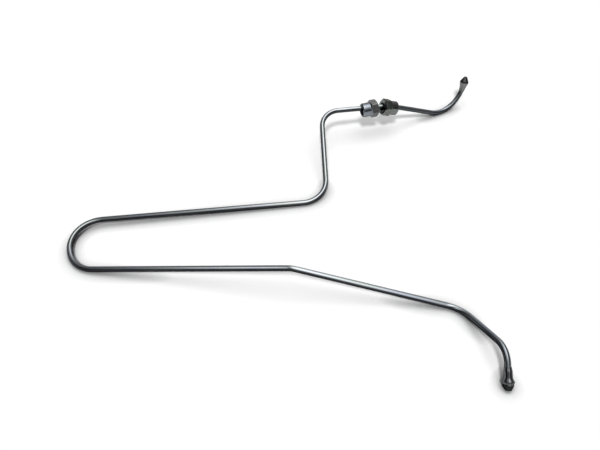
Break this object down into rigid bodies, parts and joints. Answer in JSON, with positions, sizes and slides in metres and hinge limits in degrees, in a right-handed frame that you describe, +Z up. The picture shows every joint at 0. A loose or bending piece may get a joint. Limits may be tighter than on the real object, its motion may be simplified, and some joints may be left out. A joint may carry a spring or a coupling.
{
  "type": "injector pipe",
  "caption": "Bent high-pressure fuel pipe with a sealing cone on each end, a collared sleeve behind one cone, and loose union nuts.",
  "frame": {"origin": "the middle of the base of the whole part as it lies at rest", "axes": "+X along the longest extent, towards both cone ends, +Z up from the surface it lies on"},
  "size_m": [0.4682, 0.4332, 0.0471],
  "materials": {
    "tube_steel": "bright plated, glossy",
    "sleeve_steel": "bright plated, glossy",
    "upper_nut_steel": "turned and milled, dull plated",
    "lower_nut_steel": "turned and milled, dull plated"
  },
  "bodies": {
    "pipe": {"pipe": "tube_steel", "lower_sleeve": "sleeve_steel"},
    "upper_nut": {"upper_union_nut": "upper_nut_steel"},
    "lower_nut": {"lower_union_nut": "lower_nut_steel"}
  },
  "joints": [
    {"name": "upper_nut_turn", "type": "hinge", "parent": "pipe", "child": "upper_nut", "pos_m": [0.11442, 0.15024, 0.03744], "axis": [0.9015, 0.2969, -0.3147], "continuous": true},
    {"name": "lower_nut_turn", "type": "hinge", "parent": "pipe", "child": "lower_nut", "pos_m": [0.10727, 0.1496, 0.03701], "axis": [-0.9561, -0.2913, -0.0318], "continuous": true}
  ]
}
